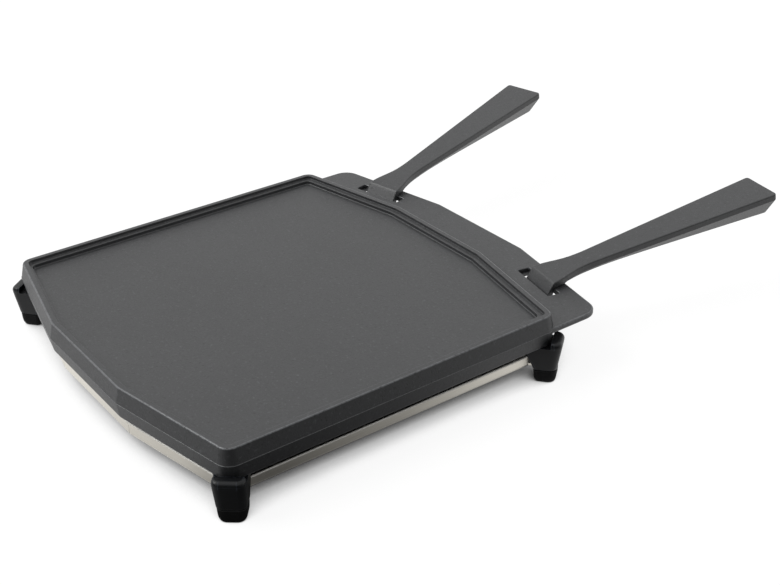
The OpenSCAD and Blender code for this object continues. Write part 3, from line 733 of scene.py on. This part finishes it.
for name in corner:
    bracket = solid("foot_" + name + "_bracket", atCorner(footPoints(), name))
    for tool in (tabPocket(), screwBore(foot["padTop"] - 1, foot["padTop"] + 15)):
        combine(bracket, solid("tool", atCorner(tool, name)), "DIFFERENCE")
    shade(bracket, foot["crisp"])
    finishPiece(bracket, nylonSkin, "trivet", "black_nylon", "foot_" + name)
    points = atCorner(padPoints(), name)
    pad = solid("pad_" + name + "_rubber", points, gridFaces(*points.shape[:2], wrapRows=True).tolist())
    shade(pad, foot["crisp"])
    finishPiece(pad, rubberSkin, "trivet", "black_rubber", "pad_" + name)


# Trivet tray

tray = {
    "sideInset": 6.0, "endInset": 3.5, "sheet": 1.5, "low": 11.6, "sideHigh": 8.4, "endHigh": 10.2,
    "bendRadius": 2.4, "stop": 13.8, "seam": 0.12, "endRound": 1.5, "cornerCut": 21.0,
    "tabHalf": 6.5, "tabEnd": 5.0, "tabFrom": -30.0, "crisp": 35,
}


def trayCorners():
    # the rim outline moved inward, by one distance at the two sides and by another at the ends
    side, end = -tray["sideInset"], -tray["endInset"]
    return grown(rimCorners(), [side, end, end, end, side, end, end, end])


def traySheet():
    # flat sheet inside the bends, with its four side corners cut off, at its lower and upper height
    inner = grown(trayCorners(), [-tray["bendRadius"] - 0.5])
    before, after = unit(np.roll(inner, 1, 0) - inner), unit(np.roll(inner, -1, 0) - inner)
    cut = tray["cornerCut"]
    both = np.stack([inner + cut * before, inner + cut * after], 1)
    bends = np.stack([inner + 2 * before, inner + 2 * after], 1)
    isSide = np.array([True, True, False, False] * 2)[:, None, None]
    ring = roundedRing(np.where(isSide, both, bends).reshape(-1, 2), 0.8, 3, 0.05)
    high = tray["low"] + np.array([0, tray["sheet"]])
    return solid("trivet_tray_sheet", stacked(np.stack([ring, ring]), high))


def trayEdge(k):
    # upturned edge: the section of a bent sheet with a bead along its cut edge, carried along side k of the
    # tray; its top follows a quarter circle at free ends, and it is mitred where the next side starts
    v = tray
    corners = trayCorners()
    p, q = corners[k], corners[(k + 1) % 8]
    way = unit(q - p)
    out = np.array([way[1], -way[0]])
    startsFree, endsFree = k in (0, 1, 4, 5), k in (0, 3, 4, 7)
    start = v["stop"] if startsFree else v["seam"]
    end = np.linalg.norm(q - p) - (v["stop"] if endsFree else v["seam"])
    r, t, h = v["bendRadius"], v["sheet"], v["sideHigh"] if k in (0, 4) else v["endHigh"]
    inner = -r - 1.2
    section = np.array([[inner, 0], [-0.4, 0], [-0.4, h - 1.6], [0, h - 1.4], [0, h],
                        [-t, h], [-t, t], [inner, t]])
    ring = roundedRing(section, np.array([0.02, r - 0.4, 0.1, 0.1, 0.8, 0.3, r - t, 0.02]), 6, 0.02)[::-1]
    step = np.array([0, 0.06, 0.25, 0.55, 1.0, 1.6, 2.5])
    along = np.concatenate([start + step, np.linspace(start + 6, end - 6, 12), (end - step)[::-1]])
    fromEnd = np.minimum(np.where(startsFree, along - start, 99), np.where(endsFree, end - along, 99))
    e = v["endRound"]
    limit = h - e + np.sqrt(np.maximum(e ** 2 - np.maximum(e - fromEnd, 0) ** 2, 0))
    high = np.where(ring[:, 1] > r, r + (ring[:, 1] - r) * (limit[:, None] - r) / (h - r), ring[:, 1])
    share = (along - start) / (end - start)
    mitre = math.tan(slant / 2) * (np.where(startsFree, 0, 1 - share) - np.where(endsFree, 0, share))
    at = along[:, None] - ring[:, 0] * mitre[:, None]
    xy = p + at[..., None] * way + ring[:, :1] * out
    return solid("trayEdge", np.concatenate([xy, (v["low"] + high)[..., None]], -1))


def trayTab():
    # strip under the foot, its end rounded round the screw
    v = tray
    turn = np.linspace(-math.pi / 2, math.pi / 2, 13)
    at, start = foot["screwAt"], v["tabFrom"]
    u = np.concatenate([[start, at], at + v["tabEnd"] * np.cos(turn), [at, start]])
    w = np.concatenate([[-v["tabHalf"]] * 2, v["tabEnd"] * np.sin(turn), [v["tabHalf"]] * 2])
    z = np.array([v["low"], v["low"] + v["sheet"]])[:, None]
    return np.stack(np.broadcast_arrays(u, w, z), -1)


trivet = traySheet()
for k in range(8):
    combine(trivet, trayEdge(k), "UNION")
trivet = atPlate(trivet)
for name in corner:
    combine(trivet, solid("tool", atCorner(trayTab(), name)), "UNION")
    combine(trivet, solid("tool", atCorner(screwBore(tray["low"] - 2, tray["low"] + 4), name)), "DIFFERENCE")
shade(trivet, tray["crisp"])
finishPiece(trivet, brushedStainless(), "trivet", "stainless_sheet", "trivet_tray")


# Screws keep their solids

screwSkin = zincPlate()
for name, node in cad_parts.items():
    if name.startswith("screw"):
        node.data.materials.clear()
        node.data.materials.append(screwSkin)
print("screws finished")


# Floor, light and camera

studio = {
    "floor": "#fbfbfb", "bounce": "#909090", "lift": 0.9, "lifted": 1.06,  # glow, glow and light together
    "shadowReach": 0.06, "shadowFrom": 0.11, "shadowTo": 0.5, "shadowSamples": 24,  # m, shares of open sky
    "nearTo": 0.35, "farFrom": 0.9,  # m from the plate's middle, where the floor's tone turns to the walls'
    "sky": 0.72, "skyDarkSide": 0.32, "darkTurn": -12.0,  # degrees from +x
    "sun": 1.5, "sunFrom": (-0.44, -0.57, 0.69), "sunSpread": 40.0,
    # tone of the room in reflections, at degrees from +x
    "roomFloor": ((-178, 1.0), (-140, 1.0), (-100, 0.9), (-80, 0.75), (-60, 0.6), (-42, 0.12), (-28, 0.08),
                  (-10, 0.18), (5, 0.28), (18, 0.44), (28, 0.64), (40, 0.85), (60, 1.0), (140, 1.0)),
    "roomWalls": ((-178, 1.0), (-160, 1.0), (-150, 0.85), (-128, 0.12), (-60, 0.08), (-42, 0.04), (-10, 0.06),
                  (5, 0.1), (18, 0.2), (28, 0.35), (45, 0.8), (60, 1.0)),
}


def seenRay(t):
    # 1 for what the camera, a reflection or a clear piece shows, 0 for the light that surfaces gather
    path = addNode(t, "ShaderNodeLightPath").outputs
    seen = addNode(t, "ShaderNodeMath", {"operation": "MAXIMUM"}, {},
                   {0: path["Is Camera Ray"], 1: path["Is Transmission Ray"]})
    return addNode(t, "ShaderNodeMath", {"operation": "MAXIMUM"}, {},
                   {0: seen.outputs[0], 1: path["Is Glossy Ray"]}).outputs[0]


def roomTone(t, way, stops):
    # what reflections show of the room: dark on one side, by the angle from +x, white elsewhere and overhead;
    # only reflections see it, so that the background stays white
    part = addNode(t, "ShaderNodeSeparateXYZ", {}, {}, {"Vector": way}).outputs
    turn = addNode(t, "ShaderNodeMath", {"operation": "ARCTAN2"}, {}, {0: part["Y"], 1: part["X"]})
    share = addNode(t, "ShaderNodeMapRange", {}, {"From Min": -math.pi, "From Max": math.pi},
                    {"Value": turn.outputs[0]})
    ramp = addNode(t, "ShaderNodeValToRGB", {}, {}, {"Fac": share.outputs[0]})
    for k, (angle, tone) in enumerate(stops):
        at = (angle + 180) / 360
        stop = ramp.color_ramp.elements.new(at) if k > 1 else ramp.color_ramp.elements[k]
        stop.position, stop.color = at, (tone, tone, tone, 1)
    high = addNode(t, "ShaderNodeMapRange", {"interpolation_type": "SMOOTHSTEP"},
                   {"From Min": 0.3, "From Max": 0.7}, {"Value": part["Z"]})
    tone = addNode(t, "ShaderNodeMix", {"data_type": "FLOAT"}, {"B": 1.0},
                   {"Factor": high.outputs[0], "A": ramp.outputs["Color"]})
    glossy = addNode(t, "ShaderNodeLightPath").outputs["Is Glossy Ray"]
    return addNode(t, "ShaderNodeMix", {"data_type": "FLOAT"}, {"A": 1.0},
                   {"Factor": glossy, "B": tone.outputs[0]}).outputs[0]


def whiteFloor():
    # flat sheet; what is seen of it is lifted to white, less where the object stands close above it, which is
    # a painted contact shadow; reflections see it painted darker on one side
    side = 8.0 / mm
    points = np.array([[-side, -side, 0], [side, -side, 0], [side, side, 0], [-side, side, 0]])
    floor = solid("floor", points, [[0, 1, 2, 3]])
    material, t = newMaterial("paleStudioFloor")
    v = studio
    place = addNode(t, "ShaderNodeTexCoord").outputs["Object"]
    fromMid = addNode(t, "ShaderNodeVectorMath", {"operation": "SUBTRACT"}, {1: (0, plateMid * mm, 0)},
                      {0: place}).outputs[0]
    way = addNode(t, "ShaderNodeVectorMath", {"operation": "NORMALIZE"}, {}, {0: fromMid}).outputs[0]
    # for reflections only, the floor's glow is painted darker towards one side: a painted reflection of a
    # dark room
    near, far = (roomTone(t, way, v[k]) for k in ("roomFloor", "roomWalls"))
    reach = addNode(t, "ShaderNodeVectorMath", {"operation": "LENGTH"}, {}, {0: fromMid}).outputs["Value"]
    share = addNode(t, "ShaderNodeMapRange", {}, {"From Min": v["nearTo"], "From Max": v["farFrom"]},
                    {"Value": reach}).outputs[0]
    tone = addNode(t, "ShaderNodeMix", {"data_type": "FLOAT"}, {},
                   {"Factor": share, "A": near, "B": far}).outputs[0]
    # ambient occlusion dims the floor's glow under and beside the object: a painted contact shadow
    openness = addNode(t, "ShaderNodeAmbientOcclusion", {"samples": v["shadowSamples"]},
                       {"Distance": v["shadowReach"]}).outputs["AO"]
    glow = addNode(t, "ShaderNodeMapRange", {},
                   {"From Min": v["shadowFrom"], "From Max": v["shadowTo"], "To Max": v["lift"]},
                   {"Value": openness}).outputs[0]
    glow = addNode(t, "ShaderNodeMath", {"operation": "MULTIPLY"}, {}, {0: glow, 1: tone}).outputs[0]
    white = addNode(t, "ShaderNodeEmission", {}, {"Color": (1, 1, 1, 1)}, {"Strength": glow})
    pale = np.array(hexColour(v["floor"]))[:3] * (v["lifted"] - v["lift"])
    shown = addNode(t, "ShaderNodeVectorMath", {"operation": "SCALE"}, {0: pale.tolist()},
                    {"Scale": tone}).outputs[0]
    lit = addNode(t, "ShaderNodeBsdfDiffuse", {}, {}, {"Color": shown})
    seen = addNode(t, "ShaderNodeAddShader", {}, {}, {0: white.outputs[0], 1: lit.outputs[0]})
    bounce = addNode(t, "ShaderNodeBsdfDiffuse", {}, {"Color": hexColour(v["bounce"])})
    both = addNode(t, "ShaderNodeMixShader", {}, {},
                   {0: seenRay(t), 1: bounce.outputs[0], 2: seen.outputs[0]})
    addNode(t, "ShaderNodeOutputMaterial", {}, {}, {"Surface": both.outputs[0]})
    floor.data.materials.append(material)


def studioLight():
    # white surroundings, with the dark side of the room in reflections; the light they give is weaker there
    world = bpy.data.worlds.new("studio")
    bpy.context.scene.world = world
    world.use_nodes = True
    t = world.node_tree
    t.nodes.clear()
    v = studio
    turn = math.radians(v["darkTurn"])
    way = addNode(t, "ShaderNodeTexCoord").outputs["Generated"]
    side = addNode(t, "ShaderNodeVectorMath", {"operation": "DOT_PRODUCT"},
                   {1: (math.cos(turn), math.sin(turn), 0)}, {0: way})
    gather = addNode(t, "ShaderNodeMapRange", {"interpolation_type": "SMOOTHSTEP"},
                     {"From Min": 0.75, "From Max": -0.35, "To Min": v["skyDarkSide"], "To Max": v["sky"]},
                     {"Value": side.outputs["Value"]}).outputs[0]
    strength = addNode(t, "ShaderNodeMix", {"data_type": "FLOAT"}, {},
                       {"Factor": seenRay(t), "A": gather, "B": roomTone(t, way, v["roomWalls"])})
    sky = addNode(t, "ShaderNodeBackground", {}, {"Color": (1, 1, 1, 1)}, {"Strength": strength.outputs[0]})
    addNode(t, "ShaderNodeOutputWorld", {}, {}, {"Surface": sky.outputs["Background"]})
    lamp = bpy.data.lights.new("softSun", "SUN")
    lamp.energy, lamp.angle = v["sun"], math.radians(v["sunSpread"])
    sun = bpy.data.objects.new("softSun", lamp)
    way = unit(np.array(v["sunFrom"]))
    side = unit(np.cross([0, 1, 0], way))
    sun.matrix_world = Matrix(np.column_stack([side, np.cross(way, side), way]).tolist()).to_4x4()
    bpy.context.scene.collection.objects.link(sun)


view = {
    "at": (0.70371, -0.505464, 0.48962),  # m
    "azimuth": 54.528, "elevation": 29.008, "roll": -1.457,  # degrees
    "lens": 60.533, "sensor": 36,  # mm
}


def photoCamera():
    # looks back along the direction given by azimuth and elevation, turned about it by the roll
    az, el, roll = (math.radians(view[k]) for k in ("azimuth", "elevation", "roll"))
    back = np.array([math.sin(az) * math.cos(el), -math.cos(az) * math.cos(el), math.sin(el)])
    right = np.array([math.cos(az), math.sin(az), 0])
    up = np.cross(back, right)
    columns = np.eye(4)
    columns[:3, 0] = math.cos(roll) * right + math.sin(roll) * up
    columns[:3, 1] = math.cos(roll) * up - math.sin(roll) * right
    columns[:3, 2], columns[:3, 3] = back, view["at"]
    lens = bpy.data.cameras.new("photoCamera")
    lens.lens, lens.sensor_width, lens.sensor_fit = view["lens"], view["sensor"], "HORIZONTAL"
    lens.clip_start, lens.clip_end = 0.01, 100
    cam = bpy.data.objects.new("photoCamera", lens)
    cam.matrix_world = Matrix(columns.tolist())
    bpy.context.scene.collection.objects.link(cam)
    bpy.context.scene.camera = cam


whiteFloor()
studioLight()
photoCamera()
bpy.context.scene.view_settings.view_transform = "Standard"
print("floor, light and camera set")

bpy.context.view_layer.update()
